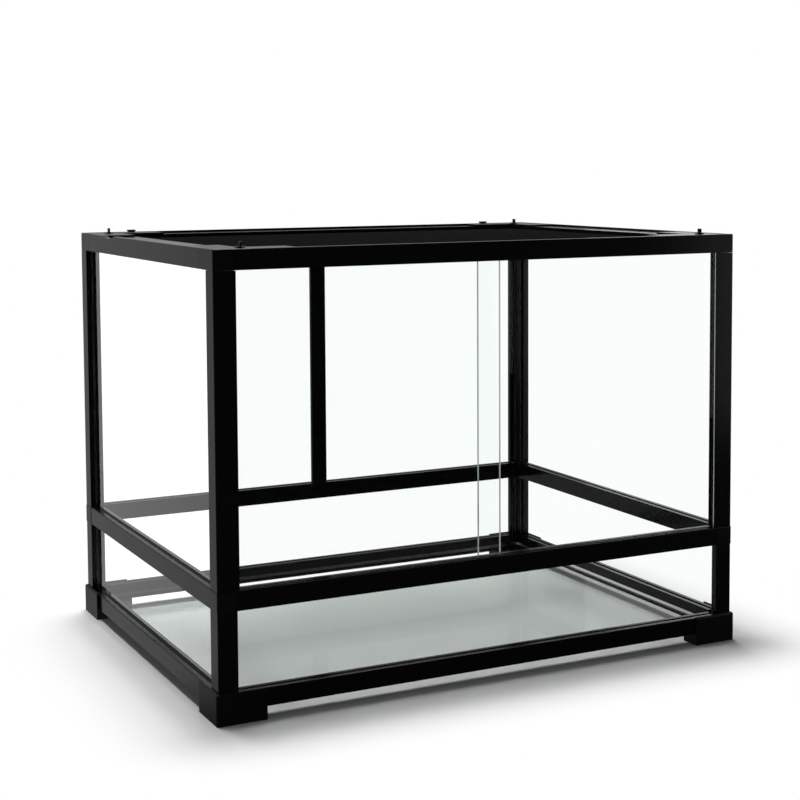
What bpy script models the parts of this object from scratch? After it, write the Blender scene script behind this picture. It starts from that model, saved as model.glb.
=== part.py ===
"""Glass terrarium: a framed tank with two sliding doors, a glazed base band and a lift-off screen lid.

Lengths are metres. X runs along the front, Y from the front to the back and Z up. The floor is Z = 0,
and X = Y = 0 is the middle of the footprint. Rails and posts are modelled from their outer face: a
profile point is (inward, up), where inward is the distance from the outer face towards the inside.
"""

import math

import bmesh
import bpy

# Overall size, over the outer faces of the rails and posts
FRAME_LENGTH = 0.600
FRAME_DEPTH = 0.450
FRAME_HEIGHT = 0.450

# Distance between pieces that touch on the real object
GAP = 0.0003

# Frame profiles
WALL = 0.0055
INNER_WALL = 0.0044
POST_WIDTH = 0.020
MULLION_WIDTH = 0.0195
TOP_RAIL_HEIGHT = 0.020
MID_RAIL_HEIGHT = 0.0195
BASE_RAIL_HEIGHT = 0.018
BASE_RAIL_LIFT = 0.012
BAND_HEIGHT = 0.078
EDGE_RADIUS = 0.0011
POST_RADIUS = 0.0016
ARC_STEPS = 4

# Webs between the outer and inner walls, which carry the panes and the lid
LEDGE_WIDTH = 0.020
LEDGE_THICKNESS = 0.0025
MID_WEB_RISE = 0.009
MID_WEB_THICKNESS = 0.002
BASE_WEB_WIDTH = 0.017
BASE_WEB_THICKNESS = 0.003

# Corner pieces
TOP_CORNER_FRONT_LEG = 0.0205
TOP_CORNER_SIDE_LEG = 0.036
MID_CORNER_PROUD = 0.0004

# Feet
FOOT_LEG = 0.048
FOOT_WIDTH = 0.020
FOOT_PROUD = 0.003
FOOT_RISE = 0.001
FOOT_RADIUS = 0.0025

# Glass
PANE_GLASS = 0.004
DOOR_GLASS = 0.003
DOOR_OVERLAP = 0.028
DOOR_MEETING = -0.004

# Door tracks
TRACK_WALL = 0.0015
TRACK_RIB = 0.001
DOOR_PLAY = 0.00025
DOOR_END_PLAY = 0.0005
TOP_TRACK_DEPTH = 0.008
BOTTOM_TRACK_DEPTH = 0.003
DOOR_TOP_HOLD = 0.0039
JAMB_WEB = 0.0008
JAMB_FIN = 0.0014

# Lid
LID_PLAY = 0.0008
LID_BAR_WIDTH = 0.032
LID_CORNER_HEIGHT = 0.0084
LID_BAR_DROP = 0.002
LID_CORNER_LEG = 0.088
LID_RADIUS = 0.001
SCREEN_THICKNESS = 0.001
SCREEN_PLAY = 0.0003
SCREEN_HOLD = 0.0047
SCREEN_LIFT = 0.0013

# Turn latches on the lid corners
LATCH_SHAFT_RADIUS = 0.0029
LATCH_CLEARANCE = 0.0031
LATCH_FRONT_LEFT_SHIFT = 0.011
LATCH_COLLAR_RADIUS = 0.0052
LATCH_COLLAR_HEIGHT = 0.0009
LATCH_FIN_THICKNESS = 0.0022
LATCH_FIN_LENGTH = 0.006
LATCH_FIN_HEIGHT = 0.0046
CAM_CLEARANCE = 0.001
CAM_WIDTH = 0.006
CAM_THICKNESS = 0.0023
RUNNING_CLEARANCE = 0.0001
ROUND_STEPS = 32

# Cable ports in the back rim
PORT_INSET = 0.060
PLUG_WIDTH = 0.006
PLUG_DEPTH = 0.006
PLUG_HEAD_WIDTH = 0.009
PLUG_HEAD_HEIGHT = 0.002
PORT_CHANNEL_HEIGHT = 0.0047

# Finger scoop in the left side of the rim and of the lid
SCOOP_LENGTH = 0.042
SCOOP_DEPTH = 0.003
SCOOP_BITE = 0.008
SCOOP_MARGIN = 0.001

# Heights of the frames, worked out from the sizes above
base_rail_top = BASE_RAIL_LIFT + BASE_RAIL_HEIGHT
base_web_top = BASE_RAIL_LIFT + BASE_WEB_THICKNESS
mid_rail_bottom = base_rail_top + BAND_HEIGHT
mid_rail_top = mid_rail_bottom + MID_RAIL_HEIGHT
mid_web_bottom = mid_rail_bottom + MID_WEB_RISE
mid_web_top = mid_web_bottom + MID_WEB_THICKNESS
top_rail_bottom = FRAME_HEIGHT - TOP_RAIL_HEIGHT
lid_bottom = FRAME_HEIGHT - GAP - LID_CORNER_HEIGHT
ledge_top = lid_bottom - GAP
ledge_bottom = ledge_top - LEDGE_THICKNESS

# Distances inward from the outer faces
pane_outside = WALL + GAP
pane_inside = pane_outside + PANE_GLASS
slot_inside = pane_inside + GAP
frame_inside = slot_inside + INNER_WALL
track_groove = DOOR_GLASS + 2 * DOOR_PLAY
track_depth = 2 * TRACK_WALL + TRACK_RIB + 2 * track_groove
front_groove = (TRACK_WALL, TRACK_WALL + track_groove)
rear_groove = (front_groove[1] + TRACK_RIB, front_groove[1] + TRACK_RIB + track_groove)
lid_edge = WALL + LID_PLAY
lid_inside = lid_edge + LID_BAR_WIDTH
screen_slot = lid_inside - SCREEN_HOLD - SCREEN_PLAY
latch_inset = LEDGE_WIDTH + LATCH_SHAFT_RADIUS + LATCH_CLEARANCE
cam_reach = latch_inset - frame_inside - CAM_CLEARANCE

# Each corner: name, side of the middle in X and in Y, and the turn that brings a front left piece there
CORNERS = (
    ("front_left", -1, -1, 0),
    ("front_right", 1, -1, 90),
    ("back_right", 1, 1, 180),
    ("back_left", -1, 1, 270),
)

# Each side: name, side of the middle in X and in Y, and the turn that brings a front piece there
SIDES = (
    ("front", 0, -1, 0),
    ("right", 1, 0, 90),
    ("back", 0, 1, 180),
    ("left", -1, 0, 270),
)


def clear_scene():
    for old in list(bpy.data.objects):
        bpy.data.objects.remove(old, do_unlink=True)


def principled(name, colour, roughness, metallic=0.0, transmission=0.0):
    """A plain material with the colour given as linear red, green and blue."""
    material = bpy.data.materials.new(name)
    material.use_nodes = True
    shader = material.node_tree.nodes["Principled BSDF"]
    shader.inputs["Base Color"].default_value = (*colour, 1.0)
    shader.inputs["Roughness"].default_value = roughness
    shader.inputs["Metallic"].default_value = metallic
    shader.inputs["Transmission Weight"].default_value = transmission
    return material


def arc(centre, radius, start, end, steps=ARC_STEPS):
    """Points on a circle from one angle to another, both in degrees."""
    points = []
    for step in range(steps + 1):
        angle = math.radians(start + (end - start) * step / steps)
        points.append((centre[0] + radius * math.cos(angle), centre[1] + radius * math.sin(angle)))
    return points


def mesh_from(name, points, faces):
    """A closed mesh with its faces pointing out and coincident points joined."""
    mesh = bpy.data.meshes.new(name)
    mesh.from_pydata(points, [], faces)
    work = bmesh.new()
    work.from_mesh(mesh)
    bmesh.ops.remove_doubles(work, verts=work.verts, dist=1e-7)
    bmesh.ops.recalc_face_normals(work, faces=work.faces)
    work.to_mesh(mesh)
    work.free()
    return mesh


def prism_mesh(name, outline, low, high, lay=lambda u, v, w: (u, v, w)):
    """An outline (u, v) drawn out from w = low to w = high, where lay() says which axis each one is."""
    count = len(outline)
    points = [lay(u, v, w) for w in (low, high) for u, v in outline]
    faces = [tuple(range(count)), tuple(range(count, 2 * count))]
    for index in range(count):
        after = (index + 1) % count
        faces.append((index, after, count + after, count + index))
    return mesh_from(name, points, faces)


def bar_mesh(name, profile, half_length):
    """A straight rail along X, its outer face at Y = 0, from a profile of (inward, up) points."""
    return prism_mesh(name, profile, -half_length, half_length, lambda inward, up, along: (along, inward, up))


def box_mesh(name, low, high):
    corners = [(low[0], low[1]), (high[0], low[1]), (high[0], high[1]), (low[0], high[1])]
    return prism_mesh(name, corners, low[2], high[2])


def round_mesh(name, radius, low, high, centre=(0.0, 0.0)):
    return prism_mesh(name, arc(centre, radius, 0, 360 * (1 - 1 / ROUND_STEPS), ROUND_STEPS - 1), low, high)


def corner_mesh(name, profile, leg_x, leg_y, radius):
    """A profile carried round an outer corner at X = Y = 0, with a leg along X and a leg along Y.

    The outermost face turns with the radius given, and faces too far in for that turn sharply.
    """
    centre = min(inward for inward, up in profile) + radius
    points = []
    for inward, up in profile:
        reach = max(centre - inward, 0.0)
        turn = max(centre, inward)
        points.append((leg_x, inward, up))
        for x, y in arc((turn, turn), reach, -90, -180):
            points.append((x, y, up))
        points.append((inward, leg_y, up))
    ring = ARC_STEPS + 3
    count = len(profile)
    faces = [
        tuple(index * ring for index in range(count)),
        tuple(index * ring + ring - 1 for index in range(count)),
    ]
    for index in range(count):
        here = index * ring
        there = (index + 1) % count * ring
        for step in range(ring - 1):
            faces.append((here + step, here + step + 1, there + step + 1, there + step))
    return mesh_from(name, points, faces)


def shade(mesh, material):
    mesh.materials.append(material)
    mesh.shade_smooth()
    mesh.set_sharp_from_angle(angle=math.radians(30))


def place(name, mesh, material, location=(0.0, 0.0, 0.0), turn=0, parent=None):
    """One named sub-part, turned about Z by whole degrees."""
    if not mesh.materials:
        shade(mesh, material)
    piece = bpy.data.objects.new(name, mesh)
    piece.location = location
    piece.rotation_euler = (0.0, 0.0, math.radians(turn))
    piece.parent = parent
    bpy.context.scene.collection.objects.link(piece)
    return piece


def cut(piece, cutter_mesh):
    """Takes a shape, given in the piece's own coordinates, out of the piece."""
    cutter = bpy.data.objects.new(cutter_mesh.name, cutter_mesh)
    cutter.parent = piece
    cutter.hide_render = True
    cutter.display_type = "WIRE"
    bpy.context.scene.collection.objects.link(cutter)
    boolean = piece.modifiers.new(cutter_mesh.name, "BOOLEAN")
    boolean.operation = "DIFFERENCE"
    boolean.object = cutter


def union_mesh(name, meshes):
    """One closed mesh from several that overlap."""
    pieces = [bpy.data.objects.new(name, mesh) for mesh in meshes]
    for piece in pieces:
        bpy.context.scene.collection.objects.link(piece)
    whole = pieces[0]
    for other in pieces[1:]:
        boolean = whole.modifiers.new("join", "BOOLEAN")
        boolean.operation = "UNION"
        boolean.object = other
    graph = bpy.context.evaluated_depsgraph_get()
    mesh = bpy.data.meshes.new_from_object(whole.evaluated_get(graph))
    for piece in pieces:
        bpy.data.objects.remove(piece, do_unlink=True)
    return mesh


def corner_place(side_x, side_y, up=0.0):
    return (side_x * FRAME_LENGTH / 2, side_y * FRAME_DEPTH / 2, up)


def half_side(side_x):
    """Half the length of a side of the frame: the left and right sides run along the depth."""
    return (FRAME_DEPTH if side_x else FRAME_LENGTH) / 2


def legs_for(turn, leg_along_front, leg_along_side):
    """The two legs in the piece's own X and Y, which swap on the corners turned by a quarter."""
    if turn in (90, 270):
        return leg_along_side, leg_along_front
    return leg_along_front, leg_along_side


def post_outline():
    """A corner post in plan: a solid core, and a wall along each side that covers a pane's end."""
    return [
        *arc((POST_RADIUS, POST_RADIUS), POST_RADIUS, 180, 270),
        (POST_WIDTH, 0.0),
        (POST_WIDTH, WALL),
        (frame_inside, WALL),
        (frame_inside, frame_inside),
        (WALL, frame_inside),
        (WALL, POST_WIDTH),
        (0.0, POST_WIDTH),
    ]


def rounded_top(top, outside=0.0):
    """The outer top edge of a rail, from its inner side to its outer face."""
    return arc((outside + EDGE_RADIUS, top - EDGE_RADIUS), EDGE_RADIUS, 90, 180)


def top_rail_outline():
    """An outer wall up to the rim and an inner wall up to the ledge that carries the lid."""
    return [
        (0.0, top_rail_bottom),
        (WALL, top_rail_bottom),
        (WALL, ledge_bottom),
        (slot_inside, ledge_bottom),
        (slot_inside, top_rail_bottom),
        (frame_inside, top_rail_bottom),
        (frame_inside, ledge_bottom),
        (LEDGE_WIDTH, ledge_bottom),
        (LEDGE_WIDTH, ledge_top),
        (WALL, ledge_top),
        (WALL, FRAME_HEIGHT),
        *rounded_top(FRAME_HEIGHT),
    ]


def top_track_outline():
    """The front top rail: two grooves open downward for the doors, under the same rim and ledge."""
    groove_top = top_rail_bottom + TOP_TRACK_DEPTH
    return [
        (0.0, top_rail_bottom),
        (front_groove[0], top_rail_bottom),
        (front_groove[0], groove_top),
        (front_groove[1], groove_top),
        (front_groove[1], top_rail_bottom),
        (rear_groove[0], top_rail_bottom),
        (rear_groove[0], groove_top),
        (rear_groove[1], groove_top),
        (rear_groove[1], top_rail_bottom),
        (track_depth, top_rail_bottom),
        (track_depth, ledge_bottom),
        (LEDGE_WIDTH, ledge_bottom),
        (LEDGE_WIDTH, ledge_top),
        (WALL, ledge_top),
        (WALL, FRAME_HEIGHT),
        *rounded_top(FRAME_HEIGHT),
    ]


def mid_rail_outline(proud=0.0):
    """Two walls joined by a web, with a slot above for the upper pane and one below for the skirt pane."""
    return [
        (-proud, mid_rail_bottom),
        (WALL, mid_rail_bottom),
        (WALL, mid_web_bottom),
        (slot_inside, mid_web_bottom),
        (slot_inside, mid_rail_bottom),
        (frame_inside, mid_rail_bottom),
        (frame_inside, mid_rail_top),
        (slot_inside, mid_rail_top),
        (slot_inside, mid_web_top),
        (WALL, mid_web_top),
        (WALL, mid_rail_top),
        *rounded_top(mid_rail_top, -proud),
    ]


def mid_track_outline():
    """The front middle rail: two grooves open upward for the doors, over the front skirt pane."""
    groove_bottom = mid_rail_top - BOTTOM_TRACK_DEPTH
    return [
        (0.0, mid_rail_bottom),
        (WALL, mid_rail_bottom),
        (WALL, mid_web_bottom),
        (slot_inside, mid_web_bottom),
        (slot_inside, mid_rail_bottom),
        (frame_inside, mid_rail_bottom),
        (frame_inside, mid_rail_top),
        (rear_groove[1], mid_rail_top),
        (rear_groove[1], groove_bottom),
        (rear_groove[0], groove_bottom),
        (rear_groove[0], mid_rail_top),
        (front_groove[1], mid_rail_top),
        (front_groove[1], groove_bottom),
        (front_groove[0], groove_bottom),
        (front_groove[0], mid_rail_top),
        *rounded_top(mid_rail_top),
    ]


def base_rail_outline():
    """Two walls on a web. The skirt pane stands between them, and the bottom pane lies on the web's edge."""
    return [
        (0.0, BASE_RAIL_LIFT),
        (BASE_WEB_WIDTH, BASE_RAIL_LIFT),
        (BASE_WEB_WIDTH, base_web_top),
        (frame_inside, base_web_top),
        (frame_inside, base_rail_top),
        (slot_inside, base_rail_top),
        (slot_inside, base_web_top),
        (WALL, base_web_top),
        (WALL, base_rail_top),
        *rounded_top(base_rail_top),
    ]


def foot_outline():
    """A block under the frame, with a shell outside it that stands proud of the rails."""
    block_top = BASE_RAIL_LIFT - GAP
    foot_top = base_rail_top + FOOT_RISE
    rounding = FOOT_PROUD - 2 * GAP
    return [
        (-FOOT_PROUD, 0.0),
        (FOOT_WIDTH, 0.0),
        (FOOT_WIDTH, block_top),
        (-GAP, block_top),
        (-GAP, foot_top),
        *arc((rounding - FOOT_PROUD, foot_top - rounding), rounding, 90, 180),
    ]


def lid_outline(height):
    """A lid bar in the lid's own heights, with the slot that holds the screen along its inner edge."""
    slot_bottom = SCREEN_LIFT - SCREEN_PLAY
    slot_top = SCREEN_LIFT + SCREEN_THICKNESS + SCREEN_PLAY
    return [
        (lid_edge, 0.0),
        (lid_inside, 0.0),
        (lid_inside, slot_bottom),
        (screen_slot, slot_bottom),
        (screen_slot, slot_top),
        (lid_inside, slot_top),
        (lid_inside, height),
        (lid_edge, height),
    ]


def make_feet(material):
    for name, side_x, side_y, turn in CORNERS:
        mesh = corner_mesh("foot", foot_outline(), FOOT_LEG, FOOT_LEG, FOOT_RADIUS)
        place("foot_" + name, mesh, material, corner_place(side_x, side_y), turn)


def make_posts(material):
    """Lower posts stand on the feet, upper posts on the middle corner pieces."""
    levels = (
        ("lower_post_", BASE_RAIL_LIFT, mid_rail_bottom - GAP),
        ("upper_post_", mid_rail_top + GAP, top_rail_bottom - GAP),
    )
    for prefix, bottom, top in levels:
        for name, side_x, side_y, turn in CORNERS:
            mesh = prism_mesh(prefix, post_outline(), bottom, top)
            place(prefix + name, mesh, material, corner_place(side_x, side_y), turn)


def make_corner_pieces(material):
    for name, side_x, side_y, turn in CORNERS:
        place_at = corner_place(side_x, side_y)
        middle = corner_mesh("mid_corner", mid_rail_outline(MID_CORNER_PROUD), POST_WIDTH, POST_WIDTH, POST_RADIUS)
        place("mid_corner_" + name, middle, material, place_at, turn)
        legs = legs_for(turn, TOP_CORNER_FRONT_LEG, TOP_CORNER_SIDE_LEG)
        top = corner_mesh("top_corner", top_rail_outline(), *legs, POST_RADIUS)
        place("top_corner_" + name, top, material, place_at, turn)


def make_rails(material):
    """Rails run between the corner pieces or posts. The two front ones carry the door tracks."""
    for name, side_x, side_y, turn in SIDES:
        place_at = corner_place(side_x, side_y)
        between_posts = half_side(side_x) - POST_WIDTH - GAP
        between_corners = half_side(side_x) - (TOP_CORNER_SIDE_LEG if side_x else TOP_CORNER_FRONT_LEG) - GAP
        front = name == "front"
        base = bar_mesh("base_rail", base_rail_outline(), between_posts)
        middle = bar_mesh("mid_rail", mid_track_outline() if front else mid_rail_outline(), between_posts)
        top = bar_mesh("top_rail", top_track_outline() if front else top_rail_outline(), between_corners)
        place("base_rail_" + name, base, material, place_at, turn)
        place("mid_rail_" + name, middle, material, place_at, turn)
        rail = place("top_rail_" + name, top, material, place_at, turn)
        if name == "left":
            cut(rail, rim_scoop_mesh(side_x))
        if name == "back":
            for port in (-1, 1):
                cut(rail, port_notch_mesh(port))


def scoop_centre():
    """Distance of the scoop behind the middle of the side: it ends where the lid's corner piece starts."""
    return FRAME_DEPTH / 2 - LID_CORNER_LEG - SCOOP_MARGIN - SCOOP_LENGTH / 2


def scoop_radius(depth):
    """Radius of the circle that cuts the scoop's length to this depth."""
    return (SCOOP_LENGTH**2 / 4 + depth**2) / (2 * depth)


def rim_scoop_mesh(side_x):
    """A shallow hollow in the rim of a side rail, in the rail's own coordinates."""
    radius = scoop_radius(SCOOP_DEPTH)
    centre = (side_x * scoop_centre(), FRAME_HEIGHT + radius - SCOOP_DEPTH)
    outline = arc(centre, radius, 180, 360, 2 * ROUND_STEPS)
    return prism_mesh("rim_scoop", outline, -WALL, 2 * WALL, lambda along, up, inward: (along, inward, up))


def lid_scoop_mesh(side_x):
    """The matching bite out of the outer edge of a lid bar, in the bar's own coordinates."""
    radius = scoop_radius(SCOOP_BITE)
    centre = (side_x * scoop_centre(), lid_edge + SCOOP_BITE - radius)
    outline = arc(centre, radius, 0, 180, 2 * ROUND_STEPS)
    return prism_mesh("lid_scoop", outline, -LID_CORNER_HEIGHT, 2 * LID_CORNER_HEIGHT)


def port_notch_mesh(port):
    """The notch in the back rim that a cable passes and a plug closes."""
    middle = port * (FRAME_LENGTH / 2 - PORT_INSET)
    half = PLUG_WIDTH / 2 + GAP
    low = (middle - half, -WALL, FRAME_HEIGHT - PLUG_DEPTH - GAP)
    high = (middle + half, lid_edge, FRAME_HEIGHT + PLUG_DEPTH)
    return box_mesh("port_notch", low, high)


def make_mullion(material):
    """The upright in the middle of the back, between the middle rail and the top rail."""
    half = MULLION_WIDTH / 2
    outline = [(half, WALL), (-half, WALL)]
    outline += arc((EDGE_RADIUS - half, EDGE_RADIUS), EDGE_RADIUS, 180, 270)
    outline += arc((half - EDGE_RADIUS, EDGE_RADIUS), EDGE_RADIUS, 270, 360)
    mesh = prism_mesh("back_mullion", outline, mid_rail_top + GAP, top_rail_bottom - GAP)
    place("back_mullion", mesh, material, corner_place(0, 1), 180)


def make_panes(material):
    """Fixed glass. Each upright pane ends against the cores of the two posts beside it."""
    upper = (mid_web_top + GAP, ledge_bottom - GAP)
    band = (base_web_top + GAP, mid_web_bottom - GAP)
    for name, side_x, side_y, turn in SIDES:
        place_at = corner_place(side_x, side_y)
        half = half_side(side_x) - frame_inside - GAP
        skirt = box_mesh("skirt_pane", (-half, pane_outside, band[0]), (half, pane_inside, band[1]))
        place("skirt_pane_" + name, skirt, material, place_at, turn)
        if name != "front":
            pane = box_mesh("upper_pane", (-half, pane_outside, upper[0]), (half, pane_inside, upper[1]))
            place("side_pane_" + name if side_x else "back_pane", pane, material, place_at, turn)
    half_x = FRAME_LENGTH / 2 - frame_inside - GAP
    half_y = FRAME_DEPTH / 2 - frame_inside - GAP
    bottom = box_mesh("bottom_pane", (-half_x, -half_y, 0.0), (half_x, half_y, PANE_GLASS))
    place("bottom_pane", bottom, material, (0.0, 0.0, base_web_top + GAP))


def make_jambs(material):
    """Upright channels beside the front posts, whose grooves line up with the door tracks."""
    web_end = JAMB_WEB
    fin_end = JAMB_WEB + JAMB_FIN
    height = top_rail_bottom - mid_rail_top - 2 * GAP
    for name, side_x in (("left", -1), ("right", 1)):
        outline = [
            (0.0, 0.0),
            (fin_end, 0.0),
            (fin_end, front_groove[0]),
            (web_end, front_groove[0]),
            (web_end, front_groove[1]),
            (fin_end, front_groove[1]),
            (fin_end, rear_groove[0]),
            (web_end, rear_groove[0]),
            (web_end, rear_groove[1]),
            (fin_end, rear_groove[1]),
            (fin_end, track_depth),
            (0.0, track_depth),
        ]
        outline = [(-side_x * across, inward) for across, inward in outline]
        mesh = prism_mesh("door_jamb", outline, 0.0, height)
        edge = side_x * (FRAME_LENGTH / 2 - POST_WIDTH - GAP)
        place("door_jamb_" + name, mesh, material, (edge, -FRAME_DEPTH / 2, mid_rail_top + GAP))


def make_doors(material):
    """The right door runs in the front groove and the left door in the rear one.

    The middle of their overlap lies a little left of the middle of the front, so the right door is wider.
    """
    closed_edge = FRAME_LENGTH / 2 - POST_WIDTH - GAP - JAMB_WEB - DOOR_END_PLAY
    bottom = mid_rail_top - BOTTOM_TRACK_DEPTH + GAP
    height = top_rail_bottom + DOOR_TOP_HOLD - bottom
    for name, side_x, groove in (("left", -1, rear_groove), ("right", 1, front_groove)):
        width = closed_edge + DOOR_OVERLAP / 2 - side_x * DOOR_MEETING
        half_glass = DOOR_GLASS / 2
        mesh = box_mesh("door", (-width / 2, -half_glass, 0.0), (width / 2, half_glass, height))
        middle = side_x * (closed_edge - width / 2)
        inward = (groove[0] + groove[1]) / 2
        place("door_" + name, mesh, material, (middle, inward - FRAME_DEPTH / 2, bottom))


def make_lid(bar_material, corner_material, screen_material):
    """Four bars between four corner pieces, with the screen held in their slot."""
    lid = bpy.data.objects.new("lid", None)
    lid.location = (0.0, 0.0, lid_bottom)
    bpy.context.scene.collection.objects.link(lid)
    for name, side_x, side_y, turn in SIDES:
        half = half_side(side_x) - LID_CORNER_LEG - GAP
        mesh = bar_mesh("lid_bar", lid_outline(LID_CORNER_HEIGHT - LID_BAR_DROP), half)
        bar = place("lid_bar_" + name, mesh, bar_material, corner_place(side_x, side_y), turn, lid)
        if name == "left":
            cut(bar, lid_scoop_mesh(side_x))
    for name, side_x, side_y, turn in CORNERS:
        mesh = corner_mesh("lid_corner", lid_outline(LID_CORNER_HEIGHT), LID_CORNER_LEG, LID_CORNER_LEG, LID_RADIUS)
        corner = place("lid_corner_" + name, mesh, corner_material, corner_place(side_x, side_y), turn, lid)
        centre = latch_centre(name, side_x, side_y)
        cut(corner, shaft_hole_mesh(centre, side_x, side_y, turn))
        if side_y > 0:
            cut(corner, port_channel_mesh(turn))
    half_x = FRAME_LENGTH / 2 - screen_slot - SCREEN_PLAY
    half_y = FRAME_DEPTH / 2 - screen_slot - SCREEN_PLAY
    screen = box_mesh("lid_screen", (-half_x, -half_y, 0.0), (half_x, half_y, SCREEN_THICKNESS))
    place("lid_screen", screen, screen_material, (0.0, 0.0, SCREEN_LIFT), 0, lid)
    return lid


def latch_centre(name, side_x, side_y):
    """Where a latch turns. The front left one sits further along the front than the others."""
    along = latch_inset + (LATCH_FRONT_LEFT_SHIFT if name == "front_left" else 0.0)
    return (side_x * (FRAME_LENGTH / 2 - along), side_y * (FRAME_DEPTH / 2 - latch_inset))


def shaft_hole_mesh(centre, side_x, side_y, turn):
    """The hole for a latch shaft, in the coordinates of the turned corner piece."""
    across = centre[0] - side_x * FRAME_LENGTH / 2
    along = centre[1] - side_y * FRAME_DEPTH / 2
    angle = -math.radians(turn)
    x = across * math.cos(angle) - along * math.sin(angle)
    y = across * math.sin(angle) + along * math.cos(angle)
    radius = LATCH_SHAFT_RADIUS + RUNNING_CLEARANCE
    return round_mesh("shaft_hole", radius, -LID_CORNER_HEIGHT, 2 * LID_CORNER_HEIGHT, (x, y))


def port_channel_mesh(turn):
    """A channel under a back corner piece, in line with the port notch in the rim."""
    half = PLUG_WIDTH / 2 + GAP
    low = [PORT_INSET - half, 0.0, -LID_CORNER_HEIGHT]
    high = [PORT_INSET + half, 2 * lid_inside, PORT_CHANNEL_HEIGHT]
    if turn in (90, 270):
        low[:2] = low[1::-1]
        high[:2] = high[1::-1]
    return box_mesh("port_channel", low, high)


def latch_mesh():
    """A shaft with an upright fin above the lid and a cam below the ledge, modelled about its axis."""
    top = FRAME_HEIGHT - GAP - lid_bottom
    cam_top = ledge_bottom - GAP - lid_bottom
    overlap = LATCH_COLLAR_HEIGHT / 2
    collar_top = top + GAP + LATCH_COLLAR_HEIGHT
    shaft = round_mesh("latch_shaft", LATCH_SHAFT_RADIUS, cam_top - CAM_THICKNESS / 2, collar_top - overlap)
    collar = round_mesh("latch_collar", LATCH_COLLAR_RADIUS, top + GAP, collar_top)
    half_fin = LATCH_FIN_LENGTH / 2
    rounding = LATCH_FIN_THICKNESS / 2
    fin_outline = arc((0.0, half_fin - rounding), rounding, 0, 180)
    fin_outline += arc((0.0, rounding - half_fin), rounding, 180, 360)
    fin = prism_mesh("latch_fin", fin_outline, collar_top - overlap, collar_top + LATCH_FIN_HEIGHT)
    half_cam = CAM_WIDTH / 2
    cam_outline = arc((0.0, 0.0), half_cam, 90, 270, ROUND_STEPS // 2)
    cam_outline += arc((cam_reach - half_cam, 0.0), half_cam, 270, 450, ROUND_STEPS // 2)
    cam = prism_mesh("latch_cam", cam_outline, cam_top - CAM_THICKNESS, cam_top)
    return union_mesh("latch", [shaft, collar, fin, cam])


def make_latches(material, lid):
    """Each cam points along the front or back bar at rest, and a quarter turn brings it under the ledge."""
    mesh = latch_mesh()
    for name, side_x, side_y, _ in CORNERS:
        centre = latch_centre(name, side_x, side_y)
        place("latch_" + name, mesh, material, (*centre, 0.0), 90 * (1 + side_x), lid)


def make_plugs(material):
    """A stem that fills the notch in the back rim, under a head that lies on the rim."""
    stem_half = PLUG_WIDTH / 2
    head_half = PLUG_HEAD_WIDTH / 2
    outline = [
        (-stem_half, -PLUG_DEPTH),
        (stem_half, -PLUG_DEPTH),
        (stem_half, GAP),
        (head_half, GAP),
        (head_half, GAP + PLUG_HEAD_HEIGHT),
        (-head_half, GAP + PLUG_HEAD_HEIGHT),
        (-head_half, GAP),
        (-stem_half, GAP),
    ]
    for name, side_x in (("left", -1), ("right", 1)):
        mesh = prism_mesh("cable_plug", outline, -WALL, 0.0, lambda along, up, inward: (along, inward, up))
        middle = side_x * (FRAME_LENGTH / 2 - PORT_INSET)
        place("cable_plug_" + name, mesh, material, (middle, FRAME_DEPTH / 2, FRAME_HEIGHT))


def main():
    clear_scene()
    profile_black = principled("black_profile", (0.012, 0.012, 0.012), 0.22)
    corner_black = principled("black_corner", (0.011, 0.011, 0.012), 0.26)
    foot_black = principled("black_foot", (0.014, 0.014, 0.014), 0.34)
    pane_glass = principled("pane_glass", (0.93, 0.96, 0.95), 0.0, transmission=1.0)
    door_glass = principled("door_glass", (0.94, 0.97, 0.96), 0.0, transmission=1.0)
    screen_black = principled("black_screen", (0.010, 0.010, 0.010), 0.45)
    latch_black = principled("black_latch", (0.009, 0.009, 0.009), 0.30)
    make_feet(foot_black)
    make_posts(profile_black)
    make_corner_pieces(corner_black)
    make_rails(profile_black)
    make_mullion(profile_black)
    make_panes(pane_glass)
    make_jambs(profile_black)
    make_doors(door_glass)
    lid = make_lid(profile_black, corner_black, screen_black)
    make_latches(latch_black, lid)
    make_plugs(latch_black)


main()
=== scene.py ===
# %% [markdown]
# # A glass terrarium in a plain studio
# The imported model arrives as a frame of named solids: rails, posts, feet, panes, doors, lid and latches.
# This lesson dresses them. It sets up the camera and the light, gives each solid a material that is built
# from nodes, and replaces the flat sheet that stands for the lid's screen with woven wire.

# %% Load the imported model
import math

import bpy
from mathutils import Matrix, Vector


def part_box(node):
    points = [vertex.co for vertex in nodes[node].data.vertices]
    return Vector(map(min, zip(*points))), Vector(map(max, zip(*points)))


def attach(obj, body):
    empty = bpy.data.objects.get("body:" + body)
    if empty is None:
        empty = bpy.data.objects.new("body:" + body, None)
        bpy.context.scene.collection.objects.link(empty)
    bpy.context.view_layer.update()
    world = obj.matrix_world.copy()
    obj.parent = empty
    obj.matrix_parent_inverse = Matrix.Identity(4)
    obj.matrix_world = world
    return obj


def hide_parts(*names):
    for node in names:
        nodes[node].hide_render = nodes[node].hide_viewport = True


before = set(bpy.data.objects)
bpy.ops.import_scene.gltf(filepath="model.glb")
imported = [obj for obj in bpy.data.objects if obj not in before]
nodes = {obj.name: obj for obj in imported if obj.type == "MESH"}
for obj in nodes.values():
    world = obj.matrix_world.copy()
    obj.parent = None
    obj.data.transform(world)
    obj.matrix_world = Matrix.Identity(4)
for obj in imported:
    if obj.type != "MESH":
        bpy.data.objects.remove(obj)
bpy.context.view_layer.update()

# %% [markdown]
# ## The camera
# The photograph was taken from the front left, a little above the rim, with a long lens. Its upright edges
# stay almost parallel, which a camera that points down can't do. The lens is therefore shifted instead, as an
# architect's camera does, and the camera itself tilts only a little. Its place comes from the lengths of
# the frame's edges in the photograph, so it is given as numbers and isn't aimed by eye.

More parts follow.
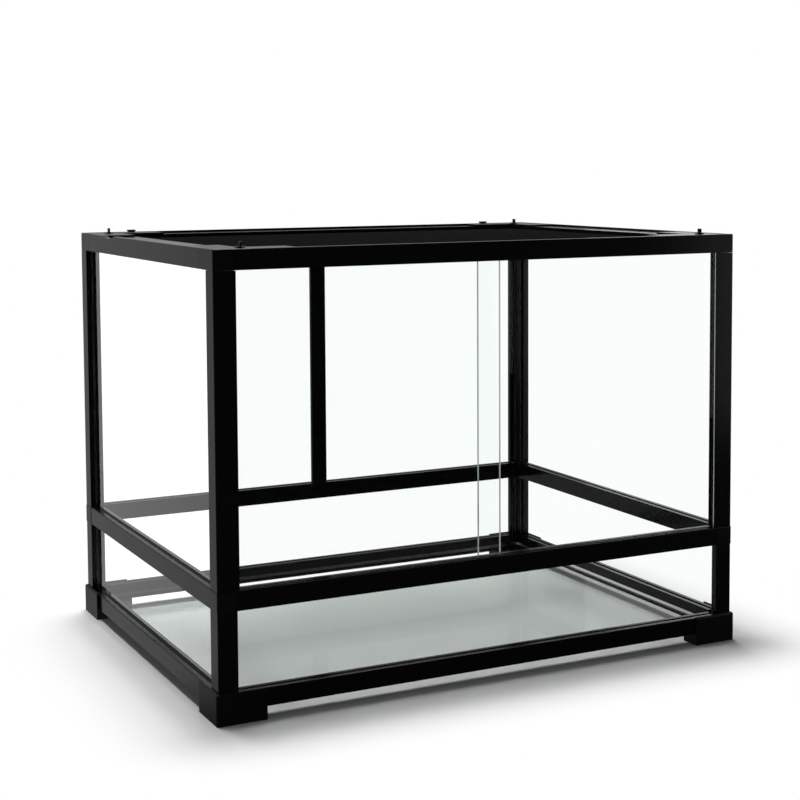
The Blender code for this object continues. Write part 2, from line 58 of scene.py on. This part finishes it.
# %% Place the camera
IMAGE_WIDTH = 800
SENSOR_WIDTH = 36.0
FOCAL_PIXELS = 1593.4
SHIFT_PIXELS = -120.0
EYE = Vector((-0.8024, -1.6142, 0.5254))
YAW, PITCH, ROLL = (math.radians(angle) for angle in (26.596, 4.076, -0.329))


def camera_axes(yaw, pitch, roll):
    """Right, up and backward directions of a camera that looks along +Y before it is turned."""
    forward = Vector((math.sin(yaw) * math.cos(pitch), math.cos(yaw) * math.cos(pitch), -math.sin(pitch)))
    level = Vector((math.cos(yaw), -math.sin(yaw), 0.0))
    down = forward.cross(level)
    right = math.cos(roll) * level - math.sin(roll) * down
    down = math.sin(roll) * level + math.cos(roll) * down
    return right, -down, -forward


camera_data = bpy.data.cameras.new("camera")
camera_data.sensor_width = SENSOR_WIDTH
camera_data.lens = FOCAL_PIXELS / IMAGE_WIDTH * SENSOR_WIDTH
camera_data.shift_y = SHIFT_PIXELS / IMAGE_WIDTH
camera = bpy.data.objects.new("camera", camera_data)
bpy.context.scene.collection.objects.link(camera)
turn = Matrix(camera_axes(YAW, PITCH, ROLL)).transposed().to_4x4()
camera.matrix_world = Matrix.Translation(EYE) @ turn
bpy.context.scene.camera = camera
print("lens", round(camera_data.lens, 1), "mm, shift", camera_data.shift_y)

# %% [markdown]
# ## Small helpers for node trees
# Every material here is a tree of nodes. A few helpers keep the cells short: one adds a node and sets its
# properties, others do sums, mix colours and make noises, and one makes a shader group with named inputs and
# outputs. The last one puts a new mesh in the scene.

# %% Helpers for nodes
NUMBER = "NodeSocketFloat"
WHITE = (1.0, 1.0, 1.0, 1.0)


def add(tree, kind, inputs=None, **settings):
    """Adds a node. An input is a plain value, or an output socket to link."""
    node = tree.nodes.new(kind)
    for name, value in settings.items():
        setattr(node, name, value)
    for name, value in (inputs or {}).items():
        if isinstance(value, bpy.types.NodeSocket):
            tree.links.new(value, node.inputs[name])
        else:
            node.inputs[name].default_value = value
    return node


def math_node(tree, operation, first, second=0.0, third=0.0, clamp=False):
    """The result of one sum on numbers or sockets."""
    inputs = {0: first, 1: second, 2: third}
    return add(tree, "ShaderNodeMath", inputs, operation=operation, use_clamp=clamp).outputs[0]


def mix_colours(tree, share, first, second):
    """The first colour, or the second one where the share is 1."""
    return add(tree, "ShaderNodeMix", {0: share, 6: first, 7: second}, data_type="RGBA").outputs[2]


def smooth_step(tree, value, low, high):
    """Rises softly from 0 to 1 while the value goes from low to high."""
    inputs = {"Value": value, "From Min": low, "From Max": high}
    return add(tree, "ShaderNodeMapRange", inputs, interpolation_type="SMOOTHSTEP").outputs["Result"]


def noise(tree, place, scale, detail, roughness=0.5):
    """A noise between 0 and 1 at a place."""
    inputs = {"Vector": place, "Scale": scale, "Detail": detail, "Roughness": roughness}
    return add(tree, "ShaderNodeTexNoise", inputs).outputs["Fac"]


def start_group(name, takes, gives):
    """A shader group. Takes are (name, socket kind, default value) and gives are (name, socket kind)."""
    group = bpy.data.node_groups.new(name, "ShaderNodeTree")
    for label, kind, value in takes:
        socket = group.interface.new_socket(label, in_out="INPUT", socket_type=kind)
        socket.default_value = value
    for label, kind in gives:
        group.interface.new_socket(label, in_out="OUTPUT", socket_type=kind)
    return group, group.nodes.new("NodeGroupInput").outputs, group.nodes.new("NodeGroupOutput")


def use_group(tree, group, **values):
    """Places a group in a material, with its own values."""
    node = tree.nodes.new("ShaderNodeGroup")
    node.node_tree = group
    for name, value in values.items():
        node.inputs[name.replace("_", " ")].default_value = value
    return node.outputs


def new_material(name):
    """An empty material with an output node, and its tree."""
    material = bpy.data.materials.new(name)
    material.use_nodes = True
    tree = material.node_tree
    tree.nodes.clear()
    return material, tree, tree.nodes.new("ShaderNodeOutputMaterial")


def show(name, points, faces):
    """A mesh and its object in the scene."""
    mesh = bpy.data.meshes.new(name)
    mesh.from_pydata(points, [], faces)
    piece = bpy.data.objects.new(name, mesh)
    bpy.context.scene.collection.objects.link(piece)
    return piece, mesh


helpers = (add, math_node, mix_colours, smooth_step, noise, start_group, use_group, new_material, show)
print("helpers", [helper.__name__ for helper in helpers])

# %% [markdown]
# ## Handled gloss
# Black lacquer is never quite even. Cloths and fingers leave broad soft patches that are a little duller, and
# fine hairlines run along the profile. This group gives a roughness that wanders around a base value.
# Two noises do it: a broad one for the wiped patches and a stretched one for the hairlines.

# %% Group for handled gloss
HAIRLINE_STRETCH = (40.0, 40.0, 900.0)
NOISE_MIDDLE = 0.5

handled_gloss, takes, gives = start_group(
    "handled_gloss",
    [("Base", NUMBER, 0.2), ("Patches", NUMBER, 0.08), ("Hairlines", NUMBER, 0.03), ("Size", NUMBER, 9.0)],
    [("Roughness", NUMBER)],
)
place = add(handled_gloss, "ShaderNodeTexCoord").outputs["Object"]
broad = noise(handled_gloss, place, takes["Size"], 3.0, 0.55)
stretched = add(
    handled_gloss, "ShaderNodeMapping", {"Vector": place, "Scale": HAIRLINE_STRETCH}
).outputs["Vector"]
fine = noise(handled_gloss, stretched, 1.0, 2.0)
broad = math_node(handled_gloss, "SUBTRACT", broad, NOISE_MIDDLE)
broad = math_node(handled_gloss, "MULTIPLY", broad, takes["Patches"])
fine = math_node(handled_gloss, "SUBTRACT", fine, NOISE_MIDDLE)
fine = math_node(handled_gloss, "MULTIPLY", fine, takes["Hairlines"])
total = math_node(handled_gloss, "ADD", broad, fine)
total = math_node(handled_gloss, "ADD", total, takes["Base"], clamp=True)
handled_gloss.links.new(total, gives.inputs["Roughness"])
print("group", handled_gloss.name)

# %% [markdown]
# ## Settled dust
# Dust lies on what faces up, in fine specks that gather in loose drifts. The group multiplies an upward
# mask, taken from the surface normal, by a speckle and by a slow noise. It gives a mask between 0 and 1,
# which a material uses to lighten its colour and dull its gloss.

# %% Group for settled dust
SPECK_EDGES = (0.52, 0.72)
DRIFT_SCALE = 14.0
UPWARD_FOCUS = 3.0

settled_dust, takes, gives = start_group(
    "settled_dust", [("Amount", NUMBER, 0.3), ("Specks", NUMBER, 900.0)], [("Mask", NUMBER)]
)
place = add(settled_dust, "ShaderNodeTexCoord").outputs["Object"]
normal = add(settled_dust, "ShaderNodeNewGeometry").outputs["Normal"]
upward = add(settled_dust, "ShaderNodeSeparateXYZ", {"Vector": normal}).outputs["Z"]
upward = math_node(settled_dust, "POWER", math_node(settled_dust, "MAXIMUM", upward, 0.0), UPWARD_FOCUS)
speck = noise(settled_dust, place, takes["Specks"], 2.0)
speck = add(
    settled_dust,
    "ShaderNodeMapRange",
    {"Value": speck, "From Min": SPECK_EDGES[0], "From Max": SPECK_EDGES[1]},
).outputs["Result"]
drift = noise(settled_dust, place, DRIFT_SCALE, 3.0)
mask = math_node(settled_dust, "MULTIPLY", math_node(settled_dust, "MULTIPLY", speck, drift), upward)
settled_dust.links.new(
    math_node(settled_dust, "MULTIPLY", mask, takes["Amount"], clamp=True), gives.inputs["Mask"]
)
print("group", settled_dust.name)

# %% [markdown]
# ## Skin of the surface
# Sprayed lacquer dries with a faint orange peel, and moulded plastic carries the fine grain of its mould.
# Both are a height that a Bump node turns into a normal: the group adds a soft wave to a fine grain.

# %% Group for the skin
surface_skin, takes, gives = start_group(
    "surface_skin",
    [("Peel", NUMBER, 0.5), ("Peel size", NUMBER, 300.0), ("Grain", NUMBER, 0.2),
     ("Grain size", NUMBER, 2500.0)],
    [("Height", NUMBER)],
)
place = add(surface_skin, "ShaderNodeTexCoord").outputs["Object"]
peel = noise(surface_skin, place, takes["Peel size"], 1.0)
grain = noise(surface_skin, place, takes["Grain size"], 2.0)
peel = math_node(surface_skin, "MULTIPLY", peel, takes["Peel"])
height = math_node(surface_skin, "MULTIPLY_ADD", grain, takes["Grain"], peel)
surface_skin.links.new(height, gives.inputs["Height"])
print("group", surface_skin.name)

# %% [markdown]
# ## Black finishes
# The rails and posts are extrusions in glossy black, the corner pieces and feet are mouldings, and the
# latches are a satin plastic. They share one recipe: a near-black colour with a breath of dust, a roughness
# from the handled gloss, and a skin. Each finish passes its own numbers. A moulding is duller than an
# extrusion, and its grain is stronger.

# %% Make the black finishes
DUST_COLOUR = (0.19, 0.185, 0.175, 1.0)
DUST_DULLING = 0.4
SKIN_DEPTH = 0.0002


def black_finish(name, colour, base, patches, hairlines, dust, peel, grain, bump, reflection):
    """A black lacquer or moulded plastic, from its gloss, dust and skin values."""
    material, tree, output = new_material(name)
    mask = use_group(tree, settled_dust, Amount=dust)["Mask"]
    mixed = mix_colours(tree, mask, (*colour, 1.0), DUST_COLOUR)
    gloss = use_group(tree, handled_gloss, Base=base, Patches=patches, Hairlines=hairlines)["Roughness"]
    rough = math_node(tree, "MULTIPLY_ADD", mask, DUST_DULLING, gloss, clamp=True)
    height = use_group(tree, surface_skin, Peel=peel, Grain=grain)["Height"]
    normal = add(
        tree, "ShaderNodeBump", {"Height": height, "Strength": bump, "Distance": SKIN_DEPTH}
    ).outputs["Normal"]
    inputs = {"Base Color": mixed, "Roughness": rough, "Normal": normal}
    shader = add(tree, "ShaderNodeBsdfPrincipled", inputs)
    shader.inputs["Specular IOR Level"].default_value = reflection
    tree.links.new(shader.outputs["BSDF"], output.inputs["Surface"])
    return material


profile_black = black_finish(
    "black_profile", (0.0035, 0.0035, 0.0037), base=0.17, patches=0.10, hairlines=0.05,
    dust=0.25, peel=0.6, grain=0.1, bump=0.10, reflection=0.15,
)
corner_black = black_finish(
    "black_corner", (0.0045, 0.0045, 0.0047), base=0.24, patches=0.10, hairlines=0.0,
    dust=0.25, peel=0.5, grain=0.3, bump=0.16, reflection=0.15,
)
foot_black = black_finish(
    "black_foot", (0.0050, 0.0050, 0.0050), base=0.33, patches=0.10, hairlines=0.0,
    dust=0.35, peel=0.3, grain=0.8, bump=0.35, reflection=0.12,
)
latch_black = black_finish(
    "black_latch", (0.0040, 0.0040, 0.0040), base=0.28, patches=0.08, hairlines=0.0,
    dust=0.20, peel=0.3, grain=0.5, bump=0.25, reflection=0.20,
)
print("finishes", profile_black.name, corner_black.name, foot_black.name, latch_black.name)

# %% [markdown]
# ## Glass
# A flat pane shifts the view behind it by less than its own thickness, so its two broad faces can let the
# view straight through, which is clean and quick. What a pane mirrors is laid over that: the Fresnel node
# gives the share for the angle of view, and only the outer side of each face mirrors. Each pane then scales
# that share, which paints its reflection stronger or weaker: 1.4 times on the left panes and 0.2 to 0.3 on
# the others. The left panes are seen at a slant and mirror most, and the black rails behind them look veiled.
# Float glass is clear through its face and green through its edge, where the light travels a long way inside.
# The edge is found from the surface normal, because the broad faces look along the thickness. It is real
# refracting glass, ground a little dull. On the sliding doors the edge is painted near black, as painted
# shade of the grooves they run in. Rays that look for the lamp find a pale film, so the panes throw almost
# no shadow.

# %% Make the glass
PANE_TINT = (0.985, 0.993, 0.989, 1.0)
EDGE_TINT = (0.30, 0.47, 0.42, 1.0)
# Painted shade: the sliding doors' edges are near black, as if in the shade of the grooves they run in.
DOOR_EDGE_PAINTED_SHADE = (0.05, 0.08, 0.07, 1.0)
SHADOW_TINT = (0.90, 0.92, 0.91, 1.0)
EDGE_ROUGHNESS = 0.28
GLASS_INDEX = 1.5
FACE_LIMIT = 0.6
SMEAR_SIZE = 5.0


def glass(name, thickness_axis, smears, mirror, edge_tint_and_shade=EDGE_TINT):
    """Glass for a pane whose thickness lies along one axis. Mirror scales what its faces mirror: a painted
    reflection strength.
    """
    material, tree, output = new_material(name)
    surface = add(tree, "ShaderNodeNewGeometry").outputs
    across = add(tree, "ShaderNodeSeparateXYZ", {"Vector": surface["Normal"]}).outputs[thickness_axis]
    edge = math_node(tree, "LESS_THAN", math_node(tree, "ABSOLUTE", across), FACE_LIMIT)
    # The edge colour is the real green tint of float glass, or painted shade on the sliding doors.
    colour = mix_colours(tree, edge, PANE_TINT, edge_tint_and_shade)
    smear = use_group(
        tree, handled_gloss, Base=0.0, Patches=smears, Hairlines=0.0, Size=SMEAR_SIZE
    )["Roughness"]
    rough = math_node(tree, "MULTIPLY_ADD", edge, EDGE_ROUGHNESS, smear, clamp=True)
    ground = add(tree, "ShaderNodeBsdfPrincipled", {"Base Color": colour, "Roughness": rough})
    ground.inputs["Transmission Weight"].default_value = 1.0
    ground.inputs["IOR"].default_value = GLASS_INDEX
    shadow = add(tree, "ShaderNodeLightPath").outputs["Is Shadow Ray"]
    film_tint = mix_colours(tree, shadow, PANE_TINT, SHADOW_TINT)
    film = add(tree, "ShaderNodeBsdfTransparent", {"Color": film_tint})
    slant = add(tree, "ShaderNodeFresnel", {"IOR": GLASS_INDEX}).outputs["Fac"]
    near = math_node(tree, "SUBTRACT", 1.0, surface["Backfacing"])
    share = math_node(tree, "MULTIPLY", math_node(tree, "MULTIPLY", slant, near), mirror, clamp=True)
    shine = add(tree, "ShaderNodeCombineColor", {0: share, 1: share, 2: share}).outputs[0]
    gloss = add(tree, "ShaderNodeBsdfAnisotropic", {"Color": shine, "Roughness": smear})
    face = add(tree, "ShaderNodeAddShader", {0: film.outputs["BSDF"], 1: gloss.outputs["BSDF"]})
    solid = math_node(tree, "MULTIPLY", edge, math_node(tree, "SUBTRACT", 1.0, shadow))
    mixed = add(
        tree, "ShaderNodeMixShader", {0: solid, 1: face.outputs[0], 2: ground.outputs["BSDF"]}
    )
    tree.links.new(mixed.outputs[0], output.inputs["Surface"])
    return material


# The mirror values paint the reflection: stronger than real glass on the left panes, weaker on the others.
left_glass = glass("pane_glass_left", "X", smears=0.012, mirror=1.4)
right_glass = glass("pane_glass_right", "X", smears=0.012, mirror=0.2)
glass_across_y = glass("pane_glass_front_and_back", "Y", smears=0.012, mirror=0.3)
bottom_glass = glass("pane_glass_bottom", "Z", smears=0.02, mirror=0.3)
# The doors' edges get painted shade instead of the green edge tint.
door_glass = glass("sliding_door_glass", "Y", smears=0.016, mirror=0.3, edge_tint_and_shade=DOOR_EDGE_PAINTED_SHADE)
print("glass", left_glass.name, right_glass.name, glass_across_y.name, bottom_glass.name, door_glass.name)

# %% [markdown]
# ## Dressing the solids
# A solid from the model keeps its shape. It gets its finish in its material slot, and a very small bevel that
# breaks the sharp edges, because a real extrusion or moulding always has a radius that catches the light.
# The name of each solid says what it is, so a short table from the start of the name to the finish is enough.

# %% Give each solid its finish and its soft edges
FINISHES = (
    ("foot", foot_black, 0.0006),
    ("mid_corner", corner_black, 0.0004),
    ("top_corner", corner_black, 0.0004),
    ("lid_corner", corner_black, 0.0004),
    ("latch", latch_black, 0.0003),
    ("cable_plug", latch_black, 0.0004),
    ("door_jamb", profile_black, 0.0002),
    ("door_", door_glass, 0.0003),
    ("side_pane_left", left_glass, 0.0004),
    ("side_pane_right", right_glass, 0.0004),
    ("skirt_pane_left", left_glass, 0.0004),
    ("skirt_pane_right", right_glass, 0.0004),
    ("skirt_pane", glass_across_y, 0.0004),
    ("back_pane", glass_across_y, 0.0004),
    ("bottom_pane", bottom_glass, 0.0004),
    ("", profile_black, 0.0003),
)
BEVEL_STEPS = 2
SHARP_ANGLE = math.radians(30)


def soften(piece, width):
    """Breaks the sharp edges of a solid with a narrow bevel."""
    bevel = piece.modifiers.new("soft_edges", "BEVEL")
    bevel.width = width
    bevel.segments = BEVEL_STEPS
    bevel.limit_method = "ANGLE"
    bevel.angle_limit = SHARP_ANGLE
    bevel.harden_normals = False
    bevel.use_clamp_overlap = True


def dress(name, piece):
    """Gives a solid the finish and bevel of the first row that its name starts with."""
    for start, finish, width in FINISHES:
        if name.startswith(start):
            piece.data.materials.clear()
            piece.data.materials.append(finish)
            soften(piece, width)
            return finish.name
    return None


dressed = {}
for name in sorted(nodes):
    if name != "lid_screen":
        finish_name = dress(name, nodes[name])
        dressed[finish_name] = dressed.get(finish_name, 0) + 1
print("dressed", dressed)

# %% [markdown]
# ## The woven screen
# The lid is covered with black coated wire, woven over and under. Up close the holes matter: light and the
# view pass through them, and their share sets how dark the shadow under the lid is. Each wire is a slightly
# flattened four sided tube. Its centre line steps up at one crossing and down at the next, and the wires the
# other way do the opposite. The weave is real geometry, so it also casts its own shadow.

# %% Weave the screen
WIRE_PITCH = 0.0029
WIRE_HALF_WIDTH = 0.00050
WIRE_HALF_HEIGHT = 0.00038
screen_low, screen_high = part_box("lid_screen")
screen_middle = (screen_low.z + screen_high.z) / 2


def crossings(low, high):
    """Evenly spaced places between two edges, about one pitch apart."""
    count = int((high - low) / WIRE_PITCH)
    step = (high - low) / count
    return [low + step * (index + 0.5) for index in range(count)]


def weave_wires(along, across, low, high, first_up, swap):
    """Points and faces of the wires that run one way, one for each place across."""
    points, faces = [], []
    width, height = WIRE_HALF_WIDTH, WIRE_HALF_HEIGHT
    sides = ((width, 0.0), (0.0, height), (-width, 0.0), (0.0, -height))
    for number, middle in enumerate(across):
        start = len(points)
        stations = [low, *along, high]
        for index, place in enumerate(stations):
            up = height if (index + number + first_up) % 2 else -height
            for side, rise in sides:
                x, y = (middle + side, place) if swap else (place, middle + side)
                points.append((x, y, screen_middle + up + rise))
        rings = len(stations)
        for ring in range(rings - 1):
            for corner in range(4):
                here = start + ring * 4 + corner
                after = start + ring * 4 + (corner + 1) % 4
                faces.append((here, after, after + 4, here + 4))
        last = start + (rings - 1) * 4
        faces.append((start + 3, start + 2, start + 1, start))
        faces.append((last, last + 1, last + 2, last + 3))
    return points, faces


places_x = crossings(screen_low.x, screen_high.x)
places_y = crossings(screen_low.y, screen_high.y)
points, faces = weave_wires(places_x, places_y, screen_low.x, screen_high.x, 0, False)
more_points, more_faces = weave_wires(places_y, places_x, screen_low.y, screen_high.y, 1, True)
offset = len(points)
points += more_points
faces += [tuple(index + offset for index in face) for face in more_faces]
woven_screen, mesh = show("woven_screen", points, faces)
mesh.validate()
mesh.shade_smooth()
print("screen of", len(places_x), "by", len(places_y), "wires,", len(faces), "faces")

# %% [markdown]
# ## The screen's coating
# The wire has a dull black coating, so it hardly shines even where it is seen along its length. It takes the
# same recipe as the other black finishes, with a high roughness and almost no reflection. The screen belongs
# to the lid and lifts off with it.

# %% Finish of the screen
screen_black = black_finish(
    "black_screen", (0.0060, 0.0060, 0.0062), base=0.42, patches=0.10, hairlines=0.0,
    dust=0.08, peel=0.5, grain=0.4, bump=0.2, reflection=0.002,
)
mesh.materials.append(screen_black)
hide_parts("lid_screen")
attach(woven_screen, "lid")
print("screen in", screen_black.name)

# %% [markdown]
# ## The floor
# The photograph shows a white sweep with the tank's soft shadow. The floor is a large matt sheet that takes
# the shadow near the tank. Further out it turns into a plain glowing white, so that no horizon shows. The
# change follows the distance from the tank's footprint, measured on the floor itself. The room in front of
# the tank was dark and the rest of it pale grey, and that is what glossy surfaces find on the floor.

# %% Lay the floor
FLOOR_HALF = 30.0
FLOOR_COLOUR = (0.86, 0.86, 0.86, 1.0)
SHADOW_REACH = 0.13
FOOTPRINT_HALF = (0.300, 0.225, 0.0)
DARK_FRONT = (-0.30, 0.0)
DARK_FLOOR = (0.020, 0.020, 0.020, 1.0)
PALE_FLOOR = (0.45, 0.45, 0.45, 1.0)

floor, mesh = show(
    "floor",
    [(-FLOOR_HALF, -FLOOR_HALF, 0.0), (FLOOR_HALF, -FLOOR_HALF, 0.0), (FLOOR_HALF, FLOOR_HALF, 0.0),
     (-FLOOR_HALF, FLOOR_HALF, 0.0)],
    [(0, 1, 2, 3)],
)
material, tree, output = new_material("white_floor")
place = add(tree, "ShaderNodeTexCoord").outputs["Object"]
beside = add(tree, "ShaderNodeVectorMath", {0: place}, operation="ABSOLUTE").outputs["Vector"]
beside = add(
    tree, "ShaderNodeVectorMath", {0: beside, 1: FOOTPRINT_HALF}, operation="SUBTRACT"
).outputs["Vector"]
beside = add(
    tree, "ShaderNodeVectorMath", {0: beside, 1: (0.0, 0.0, 0.0)}, operation="MAXIMUM"
).outputs["Vector"]
distance = add(tree, "ShaderNodeVectorMath", {0: beside}, operation="LENGTH").outputs["Value"]
far = smooth_step(tree, distance, 0.0, SHADOW_REACH)
path = add(tree, "ShaderNodeLightPath").outputs
seen = math_node(tree, "MAXIMUM", path["Is Camera Ray"], path["Is Transmission Ray"])
matt = add(tree, "ShaderNodeBsdfDiffuse", {"Color": FLOOR_COLOUR})
glow = add(tree, "ShaderNodeEmission", {"Color": WHITE, "Strength": 1.0})
mixed = add(
    tree,
    "ShaderNodeMixShader",
    {0: math_node(tree, "MULTIPLY", seen, far), 1: matt.outputs["BSDF"], 2: glow.outputs["Emission"]},
)
toward_back = add(tree, "ShaderNodeSeparateXYZ", {"Vector": place}).outputs["Y"]
pale = smooth_step(tree, toward_back, *DARK_FRONT)
colour = mix_colours(tree, pale, DARK_FLOOR, PALE_FLOOR)
mirrored = add(tree, "ShaderNodeEmission", {"Color": colour})
through = math_node(tree, "SUBTRACT", 1.0, path["Is Transmission Ray"])
mirror_ray = math_node(tree, "MULTIPLY", path["Is Glossy Ray"], through)
mixed = add(
    tree, "ShaderNodeMixShader", {0: mirror_ray, 1: mixed.outputs[0], 2: mirrored.outputs["Emission"]}
)
tree.links.new(mixed.outputs[0], output.inputs["Surface"])
mesh.materials.append(material)
print("floor", 2 * FLOOR_HALF, "m wide")

# %% [markdown]
# ## The light
# One large soft box hangs above the tank, a little behind it. The screen lets less than half of its light
# through, which gives the even grey floor inside the tank and the soft shadow in front of it.

# %% Hang the soft box
LAMP_SIZE = 1.3
LAMP_PLACE = (-0.05, 0.6, 2.6)
LAMP_POWER = 92.0

lamp_data = bpy.data.lights.new("soft_box", "AREA")
lamp_data.shape = "SQUARE"
lamp_data.size = LAMP_SIZE
lamp_data.energy = LAMP_POWER
lamp = bpy.data.objects.new("soft_box", lamp_data)
lamp.location = LAMP_PLACE
lamp.rotation_euler = Vector(LAMP_PLACE).to_track_quat("Z", "Y").to_euler()
bpy.context.scene.collection.objects.link(lamp)
print("soft box of", LAMP_POWER, "W")

# %% [markdown]
# ## The white card
# The right end of the front and the post beside it show a soft bright patch, as a black tank does when
# something pale stands next to it. A lamp there would light the floor too, so this is a sheet that glows and
# that only mirrored rays can find.

# %% Stand the white card
CARD_X = 1.24
CARD_DEPTH = (-1.50, 1.50)
CARD_HEIGHT = 1.2

card, mesh = show(
    "white_card",
    [(CARD_X, CARD_DEPTH[0], 0.0), (CARD_X, CARD_DEPTH[1], 0.0), (CARD_X, CARD_DEPTH[1], CARD_HEIGHT),
     (CARD_X, CARD_DEPTH[0], CARD_HEIGHT)],
    [(0, 1, 2, 3)],
)
material, tree, output = new_material("white_card")
glow = add(tree, "ShaderNodeEmission", {"Color": WHITE, "Strength": 1.0})
tree.links.new(glow.outputs["Emission"], output.inputs["Surface"])
mesh.materials.append(material)
card.visible_camera = False
card.visible_diffuse = False
card.visible_transmission = False
card.visible_shadow = False
print("card at", CARD_X, "m, seen only in mirrors")

# %% [markdown]
# ## The surroundings
# The world is white to the eye and through the glass, and gives a weak even light. What it shows in a mirror
# is another picture: pale grey towards the back, and almost black on the side that faces the front.

# %% Surroundings
MIRRORED = (0.45, 0.45, 0.45, 1.0)
AMBIENT = (0.12, 0.12, 0.12, 1.0)
DARK_SIDE = (0.012, 0.012, 0.012, 1.0)
DARK_TO_PALE = (-0.55, 0.15)

world = bpy.data.worlds.new("studio")
world.use_nodes = True
tree = world.node_tree
tree.nodes.clear()
output = tree.nodes.new("ShaderNodeOutputWorld")
direction = add(tree, "ShaderNodeTexCoord").outputs["Generated"]
toward_back = add(tree, "ShaderNodeSeparateXYZ", {"Vector": direction}).outputs["Y"]
bright = smooth_step(tree, toward_back, *DARK_TO_PALE)
mirrored = mix_colours(tree, bright, DARK_SIDE, MIRRORED)
path = add(tree, "ShaderNodeLightPath").outputs
colour = mix_colours(tree, path["Is Glossy Ray"], AMBIENT, mirrored)
plain = math_node(tree, "MAXIMUM", path["Is Camera Ray"], path["Is Transmission Ray"])
colour = mix_colours(tree, plain, colour, WHITE)
background = add(tree, "ShaderNodeBackground", {"Color": colour, "Strength": 1.0})
tree.links.new(background.outputs["Background"], output.inputs["Surface"])
bpy.context.scene.world = world
bpy.context.scene.view_settings.view_transform = "Standard"
print("surroundings", world.name)
